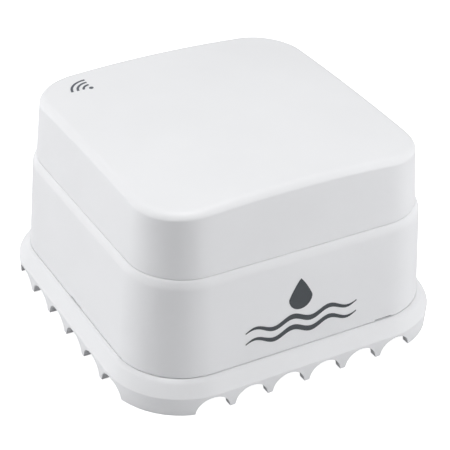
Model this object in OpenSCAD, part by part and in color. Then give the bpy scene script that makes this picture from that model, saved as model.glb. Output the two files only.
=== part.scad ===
// Battery water-leak sensor: scalloped base tray, housing, lift-off cap and everything inside.
// Stands on the floor plane Z = 0, +Z up, front face towards -Y, origin at the centre of its foot.

/* [Casing] */
// Widest width of the scalloped base, at the skirt's edge line
base_w = 65; // [64.6:0.1:66]
// Overall height, foot to crown of the cap
total_h = 39; // [38.8:0.1:40]
// Height of the seam between base and housing
seam_z = 6.4; // [6.3:0.1:6.6]
// Height of the seam between housing and cap
cap_z = 25.6; // [25.5:0.1:25.8]
// Width of the housing at its lower seam
body_w = 60.4; // [60.2:0.1:61]
// Width of the housing just under its rounded shoulder
body_top_w = 58.2; // [58.1:0.1:58.6]
// Width of the cap at its lower edge
cap_w = 56.6; // [56.5:0.1:57]
// Width of the cap where its top edge starts to round
cap_top_w = 54.8; // [54.6:0.1:55.2]
// Distance of every corner's centre from the middle, along X and Y
corner_c = 18; // [17.8:0.1:18.2]
// Radius of the rounded edge round the cap's top
cap_edge_r = 1.3; // [1:0.1:1.6]
// Rise of the cap's top from side to side, along X
crown_x = 1.4; // [1:0.1:1.6]
// Rise of the cap's top from front to back, along Y
crown_y = 0.65; // [0.5:0.05:0.9]
// Wall thickness of the mouldings
wall = 1.8; // [1.6:0.1:2]

/* [Skirt] */
// Thickness of the skirt's wall
skirt_t = 1.5; // [1.3:0.1:1.8]
// Number of arches in each side
arches = 6; // [4:1:6]
// Distance from one arch to the next
arch_pitch = 7.54; // [7.2:0.02:7.6]
// Radius of an arch
arch_r = 3.2; // [2.8:0.1:3.2]
// Height of the water chamber under the floor plate
chamber_h = 4.4; // [4.3:0.1:4.5]

/* [Power] */
// Diameter of an AAA cell
cell_d = 10.5; // [10:0.1:10.5]
// Length of an AAA cell, nub included
cell_l = 44.5; // [44:0.1:44.5]
// Distance between the two cells' axes
cell_pitch = 11.2; // [11.1:0.1:11.4]

/* [Motion] */
// Travel of the pairing button
press_travel = 0.35; // [0.2:0.05:0.4]
// Clearance between the button and its guide
run_gap = 0.05; // [0.03:0.01:0.1]

/* [Hidden] */

eps = 0.01;
fn_shell = 48;
fn_round = 64;
fn_small = 32;

// casing levels
edge_z = 3.65;                     // edge line between skirt band and shoulder
part_gap = 0.1;                    // open parting line between two casings
shoulder_z = 24.3;                 // where the housing's shoulder starts to round
land_z = cap_z - part_gap;         // top of the housing
cap_edge_z = total_h - cap_edge_r - crown_x - crown_y;   // where the cap's corners start to round
foot_w = base_w - 0.4;             // skirt width at the floor

// tray levels
deck_z = 23;                       // top of the deck that the cells lie on
deck_t = 1.2;
lip_z = 24;                        // underside of the lip that rests on the housing
neck_w = 51.8;                     // outside of the neck, inside the cap
neck_t = 1.4;
neck_top = 29.5;
neck_in = neck_w - 2 * neck_t;

// seals
groove_w = 57.6;                   // inside width of the base seal's groove
seal_t = 1;
groove_h = 0.8;
spigot_h = 2;                      // ring on the base that locates the housing
ring_z = 26.6;                     // foot of the cap seal
ring_h = 1.2;
ring_depth = 0.6;
ring_proud = 0.15;

// long screws through base, housing and tray
screw_xy = 21.5;
screw_boss_r = 3.2;
screw_shank_r = 1.25;
screw_head_r = 2.3;
screw_head_h = 1.6;
screw_seat_z = 3.4;
screw_tip_z = 26.4;
fit_gap = 0.1;                     // clearance round screws and pins

// board
board_z = 9;
board_t = 1.6;
board_top = board_z + board_t;
board_w = 46;
board_cut = 8.5;
board_screw_x = 10;
board_screw_y = 20;
post_r = 2.4;

// probes
probe_x = 16;
probe_r = 1.5;
oring_r = 2.15;
oring_wire = 0.42;

// cells
row_y = -7;                        // middle of the pair of cells
cell_r = cell_d / 2;
nub_r = 1.9;
nub_l = 1.2;
cell_z = deck_z + fit_gap + cell_r;
contact_t = 0.4;
contact_x = neck_in / 2 - 0.1 - contact_t;   // inner face of the end contacts
dimple_h = 0.35;
nub_tip = contact_x - dimple_h;    // where a cell's nub touches its contact
spring_l = contact_x + nub_tip - cell_l;
contact_w = 8.4;
contact_top = 31.2;
tail_w = 2;
tail_foot_l = 2.6;
rib_h = 5.4;                       // cradle's outer ribs
rib_t = 1.1;
divider_h = 3.2;
divider_t = 0.5;

// foam pad under the cap, and the ribs that hold it
pad_l = 30;
pad_w = 18;
pad_t = 1.2;
pad_top = 35.2;
pad_rib_x = 13;
pad_rib_l = 26;

label_t = 0.12;

// button, light and switch
button_xy = [14, 15];
button_r = 3;
guide_r = 4.4;
guide_foot = 19.8;
light_xy = [-15.5, 18.5];
light_r = 1.5;
switch_w = 6;
switch_h = 3.5;
plunger_r = 1.75;
plunger_in = 1.1;                  // length of the plunger inside the switch at rest
plunger_top = 15.05;
stem_r = 1.6;
flange_r = 3.8;                    // flange that keeps the button in its guide
flange_t = 1.2;
flange_gap = 0.2;
button_top = 26;

// ---- shared shapes ----

// square with rounded corners, each corner's arc centred corner_c from the middle on both axes
module rounded(w) {
    c = min(corner_c, w / 2 * 0.66);
    r = w / 2 - c;
    square([w, 2 * c], center = true);
    square([2 * c, w], center = true);
    for (x = [-c, c], y = [-c, c]) translate([x, y]) circle(r = r, $fn = fn_shell);
}

// solid of rounded squares: levels is a list of [width, height]
module loft(levels) {
    hull() for (level = levels)
        translate([0, 0, level[1] - (level[1] > levels[0][1] ? eps : 0)])
            linear_extrude(eps) rounded(level[0]);
}

// points round a rounded square, counter-clockwise: an arc of arc_n steps, then a side of side_n steps
function outline(w, arc_n = 8, side_n = 8) =
    let (c = min(corner_c, w * 0.33), r = w / 2 - c,
         quarter = [for (i = [0 : arc_n]) [c + r * cos(90 * i / arc_n), c + r * sin(90 * i / arc_n)],
                    for (j = [1 : side_n - 1]) [c - 2 * c * j / side_n, w / 2]])
    [for (q = [0 : 3], p = quarter) [p.x * cos(90 * q) - p.y * sin(90 * q), p.x * sin(90 * q) + p.y * cos(90 * q)]];

// how far the crowned top stands above the cap's corners at a point
function crown(p) = crown_x * (1 - pow(2 * p.x / cap_top_w, 2)) + crown_y * (1 - pow(2 * p.y / cap_top_w, 2));

// closed skin through rings, each given as [width, height, share of the crown's rise]
module crowned(levels) {
    rings = [for (level = levels) [for (p = outline(level[0])) [p.x, p.y, level[1] + level[2] * crown(p)]]];
    n = len(rings[0]);
    top = len(levels) - 1;
    middle = [0, 0];
    points = [for (r = rings, p = r) p, concat(middle, levels[0][1]),
              concat(middle, levels[top][1] + levels[top][2] * crown(middle))];
    foot_i = n * len(levels);
    walls = [for (k = [0 : top - 1], i = [0 : n - 1])
        let (a = k * n + i, b = k * n + (i + 1) % n) each [[a, a + n, b], [b, a + n, b + n]]];
    ends = [for (i = [0 : n - 1])
        let (a = i, b = (i + 1) % n) each [[foot_i, a, b], [foot_i + 1, top * n + b, top * n + a]]];
    polyhedron(points = points, faces = concat(walls, ends), convexity = 4);
}

// straight rounded-square block from z0 to z1
module block(w, z0, z1) {
    translate([0, 0, z0]) linear_extrude(z1 - z0) rounded(w);
}

// straight rounded-square ring from z0 to z1
module ring(w_out, w_in, z0, z1) {
    translate([0, 0, z0]) linear_extrude(z1 - z0) difference() {
        rounded(w_out);
        rounded(w_in);
    }
}

module rod(r, z0, z1, fn = fn_round) {
    translate([0, 0, z0]) cylinder(r = r, h = z1 - z0, $fn = fn);
}

// children at the four places (+-x, +-y)
module at_four(x, y) {
    for (sx = [-1, 1], sy = [-1, 1]) translate([sx * x, sy * y, 0]) children();
}

// box between two corners
module box(low, high) {
    translate(low) cube(high - low);
}

// ---- casings ----

module skirt_arches() {
    for (side = [0 : 3]) rotate([0, 0, 90 * side])
        for (i = [0 : arches - 1])
            translate([(i - (arches - 1) / 2) * arch_pitch, -base_w / 2 - 1, 0])
                rotate([-90, 0, 0]) cylinder(r = arch_r, h = 1 + skirt_t + 1.1, $fn = fn_round);
}

module base_tray() {
    color("white") difference() {
        union() {
            difference() {
                loft([[foot_w, 0], [base_w, edge_z], [base_w - 3.2, seam_z - 0.45], [body_w + 0.2, seam_z]]);
                block(foot_w - 2 * skirt_t, -1, chamber_h);
                skirt_arches();
                ring(groove_w + 2 * seal_t, groove_w, seam_z - groove_h, seam_z + 1);
            }
            at_four(screw_xy, screw_xy) rod(screw_boss_r + 0.8, 0.8, chamber_h + eps);
            at_four(board_screw_x, board_screw_y) rod(post_r, seam_z - eps, board_z);
            ring(groove_w - 2, groove_w - 4.4, seam_z - eps, seam_z + spigot_h);
        }
        at_four(screw_xy, screw_xy) {
            rod(screw_head_r + fit_gap, 0, screw_seat_z);
            rod(screw_shank_r + fit_gap, 0, seam_z + 1);
        }
        at_four(board_screw_x, board_screw_y) rod(1, seam_z + 0.4, board_z + 1, fn_small);
        for (x = [-probe_x, probe_x]) translate([x, 0, 0]) {
            rod(probe_r + fit_gap / 2, 0, seam_z + 1);
            rod(oring_r + oring_wire + fit_gap, 0, chamber_h + 1, fn_round);
        }
    }
}

// column for one long screw, with a web that ties it to the housing's corner
module screw_column() {
    top = deck_z - deck_t - part_gap;
    rod(screw_boss_r, seam_z + part_gap, top);
    rotate([0, 0, 45]) box([2, -0.8, seam_z + spigot_h + 0.2], [5.2, 0.8, top]);
}

module housing() {
    color("white") difference() {
        union() {
            difference() {
                loft([[body_w, seam_z + part_gap], [body_top_w, shoulder_z], [body_top_w - 0.5, shoulder_z + 0.7],
                      [body_top_w - 1.2, land_z]]);
                loft([[body_w - 2 * wall - 0.4, seam_z], [body_top_w - 2 * wall, lip_z - 1.2]]);
                block(neck_w + 0.4, lip_z - 2, lip_z + eps);
                block(neck_w + 2, lip_z, cap_z);
            }
            for (sx = [-1, 1], sy = [-1, 1]) translate([sx * screw_xy, sy * screw_xy, 0])
                mirror([sx < 0 ? 1 : 0, 0, 0]) mirror([0, sy < 0 ? 1 : 0, 0]) screw_column();
        }
        at_four(screw_xy, screw_xy) rod(screw_shank_r + fit_gap, 0, cap_z);
        // pry notches in the lower seam, left side and front
        box([-body_w, -2.9, 0], [-body_w / 2 + 0.5, 1.7, seam_z + part_gap + 0.3]);
        box([15.2, -body_w, 0], [18.8, -body_w / 2 + 0.5, seam_z + part_gap + 0.3]);
    }
}

module battery_tray() {
    rib_y = cell_pitch / 2 + cell_r + 0.35;
    pad_z = 27.6;                  // top of the corner pads that the long screws bite into
    color("whitesmoke") difference() {
        union() {
            block(neck_w, deck_z - deck_t, deck_z);
            ring(neck_w, neck_in, deck_z - eps, neck_top);
            ring(neck_w + 1.8, neck_w - 1, lip_z + part_gap / 2, land_z);
            at_four(screw_xy, screw_xy) rod(2.8, deck_z - eps, pad_z);
            for (y = [row_y - rib_y - rib_t, row_y + rib_y])
                box([-16, y, deck_z - eps], [16, y + rib_t, deck_z + rib_h]);
            box([-19, row_y - divider_t / 2, deck_z - eps], [19, row_y + divider_t / 2, deck_z + divider_h]);
            translate(button_xy) rod(guide_r, guide_foot, deck_z + 1);
        }
        at_four(screw_xy, screw_xy) rod(screw_shank_r + fit_gap, 0, screw_tip_z + 0.4);
        translate(button_xy) rod(button_r + run_gap, guide_foot - 1, deck_z + 2);
        translate(light_xy) rod(light_r + fit_gap / 2, deck_z - 2, deck_z + 2);
        for (y = [-cell_pitch / 2, cell_pitch / 2])
            box([-neck_in / 2, row_y + y - tail_w / 2 - 0.1, deck_z - 3],
                [-contact_x + 0.1, row_y + y + tail_w / 2 + 0.1, deck_z + 1]);
        ring(neck_w + 4, neck_w - 2 * ring_depth, ring_z, ring_z + ring_h);
    }
}

module top_cap() {
    crest_z = cap_edge_z + cap_edge_r;
    inner_w = cap_top_w - 2 * wall;
    color("white") {
        difference() {
            crowned([
                [cap_w, cap_z, 0],
                for (t = [0 : 22.5 : 90]) [cap_top_w - 2 * cap_edge_r * (1 - cos(t)), cap_edge_z + cap_edge_r * sin(t), 1],
                for (w = [40, 24, 8]) [w, crest_z, 1]
            ]);
            crowned([
                [cap_w - 2 * wall, cap_z - 0.5, 0],
                [inner_w, crest_z - wall - 0.9, 1],
                [inner_w - 1.8, crest_z - wall, 1],
                for (w = [32, 12]) [w, crest_z - wall, 1]
            ]);
        }
        for (x = [-pad_rib_x, pad_rib_x])
            box([x - 0.6, row_y - pad_rib_l / 2, pad_top], [x + 0.6, row_y + pad_rib_l / 2, crest_z + 0.2]);
    }
}

// ---- seals ----

module base_seal() {
    color("lightslategray") ring(groove_w + 2 * seal_t - 0.1, groove_w + 0.1, seam_z - groove_h + 0.05, seam_z);
}

module cap_seal() {
    color("lightslategray") ring(neck_w + 2 * ring_proud, neck_w - 2 * ring_depth + 0.1,
                                 ring_z + 0.05, ring_z + ring_h - 0.05);
}

// ---- fasteners ----

module case_screws() {
    color("silver") at_four(screw_xy, screw_xy) difference() {
        union() {
            rod(screw_head_r, screw_seat_z - screw_head_h, screw_seat_z);
            rod(screw_shank_r, screw_seat_z - eps, screw_tip_z);
        }
        for (turn = [0, 90]) rotate([0, 0, turn])
            box([-1.2, -0.3, 0], [1.2, 0.3, screw_seat_z - screw_head_h + 0.9]);
    }
}

module board_screws() {
    color("silver") at_four(board_screw_x, board_screw_y) difference() {
        union() {
            rod(1.9, board_top, board_top + 1.2);
            rod(0.95, seam_z + 0.8, board_top + eps, fn_small);
        }
        for (turn = [0, 90]) rotate([0, 0, turn])
            box([-1, -0.25, board_top + 0.5], [1, 0.25, board_top + 2]);
    }
}

// ---- board and its parts ----

module main_board() {
    h = board_w / 2;
    k = h - board_cut;
    color("darkgreen") difference() {
        translate([0, 0, board_z]) linear_extrude(board_t)
            polygon([[-k, -h], [k, -h], [h, -k], [h, k], [k, h], [-k, h], [-h, k], [-h, -k]]);
        at_four(board_screw_x, board_screw_y) rod(1.1, board_z - 1, board_top + 1, fn_small);
        for (x = [-probe_x, probe_x]) translate([x, 0, 0])
            rod(probe_r + fit_gap / 2, board_z - 1, board_top + 1);
    }
}

module radio_module() {
    color("navy") box([-11.5, -15.5, board_top], [4.5, 8.5, board_top + 0.8]);
}

module radio_shield() {
    color("silver") box([-10.7, -14.7, board_top + 0.8], [3.7, 1.3, board_top + 3.1]);
}

module controller_chip() {
    color("dimgray") {
        box([8, -16.5, board_top + 0.1], [14, -10.5, board_top + 1]);
        for (side = [0 : 3]) translate([11, -13.5, 0]) rotate([0, 0, 90 * side])
            for (i = [-2 : 2]) box([i - 0.2, 2.9, board_top], [i + 0.2, 3.8, board_top + 0.35]);
    }
}

module board_parts() {
    color("dimgray") {
        for (i = [0 : 3]) box([16.4, -16 + 3 * i, board_top], [18.4, -14.8 + 3 * i, board_top + 0.6]);
        for (i = [0 : 2]) box([-18.8, -12 + 3 * i, board_top], [-16.8, -10.8 + 3 * i, board_top + 0.6]);
        box([7.2, -8.2, board_top], [10.2, -6.6, board_top + 1.1]);
        box([-14.5, -18.5, board_top], [-12.9, -15.5, board_top + 1.1]);
    }
}

module capacitor() {
    color("gainsboro") translate([-17, 9.5, 0]) {
        box([-3.3, -3.3, board_top], [3.3, 3.3, board_top + 0.5]);
        rod(3.1, board_top + 0.5 - eps, board_top + 5.6);
    }
}

module buzzer() {
    color("black") translate([1, 14.8, 0]) difference() {
        rod(6, board_top, board_top + 6.5);
        rod(1.2, board_top + 5, board_top + 8);
    }
}

module status_led() {
    color("ivory") translate(light_xy) box([-1.6, -0.8, board_top], [1.6, 0.8, board_top + 1.3]);
}

module light_pipe() {
    color("aliceblue") translate(light_xy) {
        rod(light_r, board_top + 1.6, 25.2);
        rod(light_r + 0.8, deck_z, deck_z + 0.9);
    }
}

module tact_switch() {
    color("dimgray") translate(button_xy) difference() {
        box([-switch_w / 2, -switch_w / 2, board_top], [switch_w / 2, switch_w / 2, board_top + switch_h]);
        rod(plunger_r + run_gap, board_top + switch_h - plunger_in - press_travel - 0.15, board_top + switch_h + 1);
    }
}

module switch_plunger() {
    color("black") translate(button_xy) rod(plunger_r, board_top + switch_h - plunger_in, plunger_top);
}

module pairing_button() {
    flange_top = guide_foot - flange_gap;
    color("lightgray") translate(button_xy) {
        rod(stem_r, plunger_top, flange_top - flange_t);
        rod(flange_r, flange_top - flange_t - eps, flange_top);
        rod(button_r, flange_top - eps, button_top - 0.4);
        rod(button_r - 0.5, button_top - 0.4 - eps, button_top);
    }
}

// ---- probes ----

module probe_pins() {
    color("silver") for (x = [-probe_x, probe_x]) translate([x, 0, 0]) {
        rod(1.7, 0.6, 1.1);
        rod(2.2, 1.1 - eps, 3.2);
        rod(3.4, 3.2 - eps, chamber_h);
        rod(probe_r, chamber_h - eps, board_top + 3);
    }
}

module probe_orings() {
    color("dimgray") for (x = [-probe_x, probe_x]) translate([x, 0, chamber_h + oring_wire + 0.05])
        rotate_extrude($fn = fn_round) translate([oring_r, 0]) circle(r = oring_wire, $fn = fn_small);
}

module probe_nuts() {
    color("silver") for (x = [-probe_x, probe_x]) translate([x, 0, 0]) difference() {
        rod(2.75, board_top, board_top + 2, 6);
        rod(probe_r + fit_gap / 2, board_top - 1, board_top + 3);
    }
}

// ---- power ----

// one cell along +X from its flat end to its nub, centred on the X axis
module cell(side) {
    translate([0, row_y + side * cell_pitch / 2, cell_z]) rotate([0, 90 * side, 0]) {
        translate([0, 0, nub_tip - cell_l]) cylinder(r = cell_r, h = cell_l - nub_l, $fn = fn_round);
        translate([0, 0, nub_tip - nub_l - eps]) cylinder(r = nub_r, h = nub_l + eps, $fn = fn_small);
    }
}

module rear_cell() {
    color("steelblue") cell(1);
}

module front_cell() {
    color("steelblue") cell(-1);
}

module battery_springs() {
    for (side = [-1, 1]) color("silver") translate([0, row_y + side * cell_pitch / 2, cell_z])
        rotate([0, 90 * side, 0]) translate([0, 0, -contact_x])
            rotate_extrude($fn = fn_small)
                polygon([[2.6, 0], [3.4, 0], [2.2, spring_l], [1.4, spring_l]]);
}

// plate against an end wall, facing +X when side is -1
module contact_plate(side, y0, y1) {
    x0 = side > 0 ? contact_x : -contact_x - contact_t;
    box([x0, y0, deck_z + 0.1], [x0 + contact_t, y1, contact_top]);
}

module dimple(side, y) {
    x0 = side > 0 ? nub_tip : -contact_x - eps;
    translate([x0, y, cell_z]) rotate([0, 90, 0]) cylinder(r = 1.5, h = dimple_h + eps, $fn = fn_small);
}

module contact_tail(y) {
    x0 = -contact_x - contact_t;
    box([x0, y - tail_w / 2, board_top], [x0 + contact_t, y + tail_w / 2, deck_z + 0.2]);
    box([x0, y - tail_w / 2, board_top], [x0 + tail_foot_l, y + tail_w / 2, board_top + contact_t]);
}

module bridge_contact() {
    color("silver") {
        contact_plate(1, row_y - cell_pitch / 2 - contact_w / 2, row_y + cell_pitch / 2 + contact_w / 2);
        dimple(1, row_y + cell_pitch / 2);
    }
}

module positive_contact() {
    y = row_y - cell_pitch / 2;
    color("silver") {
        contact_plate(-1, y - contact_w / 2, y + contact_w / 2);
        dimple(-1, y);
        contact_tail(y);
    }
}

module negative_contact() {
    y = row_y + cell_pitch / 2;
    color("silver") {
        contact_plate(-1, y - contact_w / 2, y + contact_w / 2);
        contact_tail(y);
    }
}

module cell_pad() {
    color("dimgray") box([-pad_l / 2, row_y - pad_w / 2, pad_top - pad_t], [pad_l / 2, row_y + pad_w / 2, pad_top]);
}

module rating_label() {
    color("gainsboro") translate([0, 0, chamber_h - label_t]) linear_extrude(label_t)
        square([20, 14], center = true);
}

base_tray();
housing();
battery_tray();
top_cap();
base_seal();
cap_seal();
case_screws();
main_board();
board_screws();
radio_module();
radio_shield();
controller_chip();
board_parts();
capacitor();
buzzer();
status_led();
light_pipe();
tact_switch();
switch_plunger();
pairing_button();
probe_pins();
probe_orings();
probe_nuts();
front_cell();
rear_cell();
battery_springs();
bridge_contact();
positive_contact();
negative_contact();
cell_pad();
rating_label();
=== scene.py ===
"""Battery water-leak sensor: casings, printed marks, cells, contacts, probes and board, all dressed."""

import logging
import math
from contextlib import contextmanager
from dataclasses import dataclass
from enum import Enum
from typing import Callable, Iterator, Sequence

import bmesh
import bpy
from mathutils import Matrix, Vector


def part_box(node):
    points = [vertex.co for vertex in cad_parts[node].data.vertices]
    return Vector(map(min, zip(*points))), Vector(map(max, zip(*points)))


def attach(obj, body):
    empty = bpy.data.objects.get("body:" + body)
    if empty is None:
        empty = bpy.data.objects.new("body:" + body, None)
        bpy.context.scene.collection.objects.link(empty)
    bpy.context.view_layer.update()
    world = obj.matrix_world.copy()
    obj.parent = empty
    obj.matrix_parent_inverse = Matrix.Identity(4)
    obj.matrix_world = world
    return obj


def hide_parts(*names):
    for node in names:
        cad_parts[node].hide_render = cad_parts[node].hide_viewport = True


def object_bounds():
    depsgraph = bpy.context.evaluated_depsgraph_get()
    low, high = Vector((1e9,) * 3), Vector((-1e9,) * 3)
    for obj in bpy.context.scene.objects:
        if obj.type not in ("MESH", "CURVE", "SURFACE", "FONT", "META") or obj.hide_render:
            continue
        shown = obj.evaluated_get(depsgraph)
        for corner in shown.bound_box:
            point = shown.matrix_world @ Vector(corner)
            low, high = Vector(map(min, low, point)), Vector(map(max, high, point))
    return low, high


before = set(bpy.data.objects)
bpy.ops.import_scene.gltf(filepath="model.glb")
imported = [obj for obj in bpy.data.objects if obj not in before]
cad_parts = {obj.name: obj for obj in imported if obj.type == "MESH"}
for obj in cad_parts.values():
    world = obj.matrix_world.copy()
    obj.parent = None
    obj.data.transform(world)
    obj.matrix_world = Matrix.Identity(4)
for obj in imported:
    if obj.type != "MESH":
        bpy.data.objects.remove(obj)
cad_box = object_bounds()

log = logging.getLogger("leak_sensor")
MM = 0.001
HAIR = 0.01 * MM         # smaller than any step between two faces
ALONG = 0.9              # cosine above which an edge or a face counts as looking along an axis
SCREW_AT = 21.5 * MM     # case screws, from the middle both ways
PILOT = 1.35 * MM        # radius of the bores that the case screws cut into

Colour = tuple[float, float, float]
Rings = Sequence[tuple[float, float]]
Piece = bpy.types.Object
Socket = bpy.types.NodeSocket


# ---- bench tools ----


class Kind(Enum):
    """Element that a selection is made of."""

    EDGE = "EDGE"
    FACE = "FACE"


class End(Enum):
    """End face of a piece, by the way it looks along Z."""

    TOP = 1
    BOTTOM = -1


def clear_bench() -> None:
    """Leave nothing selected."""
    if bpy.context.object and bpy.context.object.mode != "OBJECT":
        bpy.ops.object.mode_set(mode="OBJECT")
    bpy.ops.object.select_all(action="DESELECT")


def take(*pieces: Piece) -> None:
    """Select these pieces alone, the first one active.

    Args:
        pieces: what the next operator works on.
    """
    clear_bench()
    for piece in pieces:
        piece.select_set(True)
    bpy.context.view_layer.objects.active = pieces[0]


@contextmanager
def shaping(piece: Piece) -> Iterator[None]:
    """Hold one piece in edit mode.

    Args:
        piece: the piece to shape.
    """
    take(piece)
    bpy.ops.object.mode_set(mode="EDIT")
    yield
    bpy.ops.object.mode_set(mode="OBJECT")


def select(piece: Piece, kind: Kind, test: Callable[..., bool]) -> None:
    """Select, in edit mode, the elements that pass a test and nothing else.

    Args:
        piece: the piece in edit mode.
        kind: edges or faces.
        test: says whether an element is wanted.
    """
    bpy.ops.mesh.select_mode(type=kind.value)
    bpy.ops.mesh.select_all(action="DESELECT")
    mesh = bmesh.from_edit_mesh(piece.data)
    for item in mesh.edges if kind is Kind.EDGE else mesh.faces:
        if test(item):
            item.select_set(True)
    mesh.select_flush_mode()
    bmesh.update_edit_mesh(piece.data)


def middle(edge: bmesh.types.BMEdge) -> Vector:
    """Return the middle of an edge."""
    return (edge.verts[0].co + edge.verts[1].co) / 2


def run(edge: bmesh.types.BMEdge) -> Vector:
    """Return an edge's direction, of length 1."""
    return (edge.verts[1].co - edge.verts[0].co).normalized()


def centre(node: str) -> tuple[float, ...]:
    """Return the middle of a frame node's box."""
    return tuple((low + high) / 2 for low, high in zip(*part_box(node)))


def quarters(x: float, y: float) -> list[tuple[float, float]]:
    """Return the four places that lie x and y from the middle."""
    return [(side * x, end * y) for side in (-1, 1) for end in (-1, 1)]


def settle(piece: Piece, name: str) -> Piece:
    """Name a piece and put its place, turn and size into its mesh.

    Args:
        piece: the piece to settle.
        name: its new name.

    Returns:
        The same piece.
    """
    take(piece)
    bpy.ops.object.transform_apply(location=True, rotation=True, scale=True)
    piece.name = name
    piece.data.name = name
    return piece


def block(name: str, low: Sequence[float], high: Sequence[float]) -> Piece:
    """Make a square-edged block to shape further.

    Args:
        name: the piece's name.
        low: its lowest corner.
        high: its highest corner.

    Returns:
        The block.
    """
    low, high = Vector(low), Vector(high)
    clear_bench()
    bpy.ops.mesh.primitive_cube_add(size=1, location=(low + high) / 2, scale=high - low)
    return settle(bpy.context.object, name)


def round_edges(piece: Piece, radius: float, steps: int, test: Callable[..., bool]) -> None:
    """Round the edges that pass a test.

    Args:
        piece: the piece to round.
        radius: radius of the round.
        steps: faces across it.
        test: says whether an edge is wanted.
    """
    with shaping(piece):
        select(piece, Kind.EDGE, test)
        bpy.ops.mesh.bevel(offset=radius, segments=steps, profile=0.5, affect="EDGES")


def turned(name: str, x: float, y: float, stations: Rings, facets: int = 48) -> Piece:
    """Make a round piece by drawing its end face from station to station.

    Args:
        name: the piece's name.
        x: place of its axis.
        y: place of its axis.
        stations: radius and height of each ring, the first two at different heights.
        facets: faces round the piece.

    Returns:
        The closed piece.
    """
    (radius, foot), (second, height) = stations[:2]
    clear_bench()
    bpy.ops.mesh.primitive_cone_add(vertices=facets, radius1=radius, radius2=second, depth=height - foot,
                                    location=(x, y, (foot + height) / 2))
    piece = settle(bpy.context.object, name)
    with shaping(piece):
        select(piece, Kind.FACE, lambda face: face.normal.z > ALONG and len(face.verts) == facets)
        radius = second
        for wider, higher in stations[2:]:
            bpy.ops.mesh.extrude_region_move(TRANSFORM_OT_translate={"value": (0, 0, higher - height)})
            ratio = wider / radius
            bpy.ops.transform.resize(value=(ratio, ratio, 1), center_override=(x, y, higher))
            radius, height = wider, higher
    return piece


def swing(piece: Piece, turn: Matrix, to: Sequence[float] = (0, 0, 0)) -> Piece:
    """Turn a piece about the origin and then carry it to a place.

    Args:
        piece: the piece to move.
        turn: rotation matrix.
        to: how far to carry it.

    Returns:
        The same piece.
    """
    piece.matrix_world = Matrix.Translation(to) @ turn.to_4x4()
    return settle(piece, piece.name)


def join(name: str, parts: Sequence[Piece]) -> Piece:
    """Join several parts into one piece.

    Args:
        name: the joined piece's name.
        parts: the parts.

    Returns:
        The joined piece.
    """
    take(*parts)
    if len(parts) > 1:
        bpy.ops.object.join()
    return settle(bpy.context.object, name)


def finish_modifier(piece: Piece, modifier: bpy.types.Modifier) -> None:
    """Apply a modifier to its piece."""
    take(piece)
    bpy.ops.object.modifier_apply(modifier=modifier.name)


def clean(piece: Piece) -> None:
    """Merge points closer than a hair, and dissolve edges and faces that have no size.

    Args:
        piece: the piece to clean.
    """
    with shaping(piece):
        bpy.ops.mesh.select_all(action="SELECT")
        bpy.ops.mesh.remove_doubles(threshold=HAIR)
        bpy.ops.mesh.dissolve_degenerate(threshold=HAIR)


def combine(piece: Piece, tools: Sequence[Piece], operation: str) -> None:
    """Add tools to a piece or cut them from it, and put them away.

    Args:
        piece: the piece that stays.
        tools: solids that don't touch each other.
        operation: UNION or DIFFERENCE.
    """
    tool = join("tool", tools)
    modifier = piece.modifiers.new("combine", "BOOLEAN")
    modifier.operation = operation
    modifier.solver = "EXACT"
    modifier.object = tool
    finish_modifier(piece, modifier)
    bpy.data.objects.remove(tool)
    clean(piece)


def soften(piece: Piece, radius: float, above: float = 40.0) -> None:
    """Round every edge sharper than an angle with a small radius.

    Args:
        piece: the piece to soften.
        radius: radius of the round.
        above: smallest angle, in degrees, that is rounded.
    """
    modifier = piece.modifiers.new("soften", "BEVEL")
    modifier.width = radius
    modifier.segments = 2
    modifier.limit_method = "ANGLE"
    modifier.angle_limit = math.radians(above)
    modifier.miter_outer = "MITER_ARC"
    finish_modifier(piece, modifier)
    clean(piece)


def smooth(piece: Piece, below: float = 35.0) -> None:
    """Shade a piece smooth wherever it turns by less than an angle in degrees."""
    take(piece)
    bpy.ops.object.shade_smooth_by_angle(angle=math.radians(below))


def level_shading(piece: Piece) -> None:
    """Let large faces decide the shading where they meet small ones, so that flats stay flat.

    Args:
        piece: the piece, already shaded smooth.
    """
    modifier = piece.modifiers.new("level", "WEIGHTED_NORMAL")
    modifier.keep_sharp = True
    modifier.weight = 80
    finish_modifier(piece, modifier)


def traced(node: str, name: str, radius: float) -> Piece:
    """Copy a frame node's mesh, merge it, round its edges and shade it.

    Args:
        node: the frame node.
        name: the new piece's name.
        radius: radius of its edges.

    Returns:
        The new piece.
    """
    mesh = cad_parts[node].data.copy()
    mesh.name = name
    mesh.materials.clear()
    piece = bpy.data.objects.new(name, mesh)
    bpy.context.scene.collection.objects.link(piece)
    with shaping(piece):
        bpy.ops.mesh.select_all(action="SELECT")
        bpy.ops.mesh.remove_doubles(threshold=HAIR / 10)
        bpy.ops.mesh.dissolve_limited(angle_limit=math.radians(0.5))
        bpy.ops.mesh.dissolve_degenerate(threshold=HAIR / 2)
    soften(piece, radius)
    smooth(piece)
    return piece


# ---- finishes ----


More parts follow.
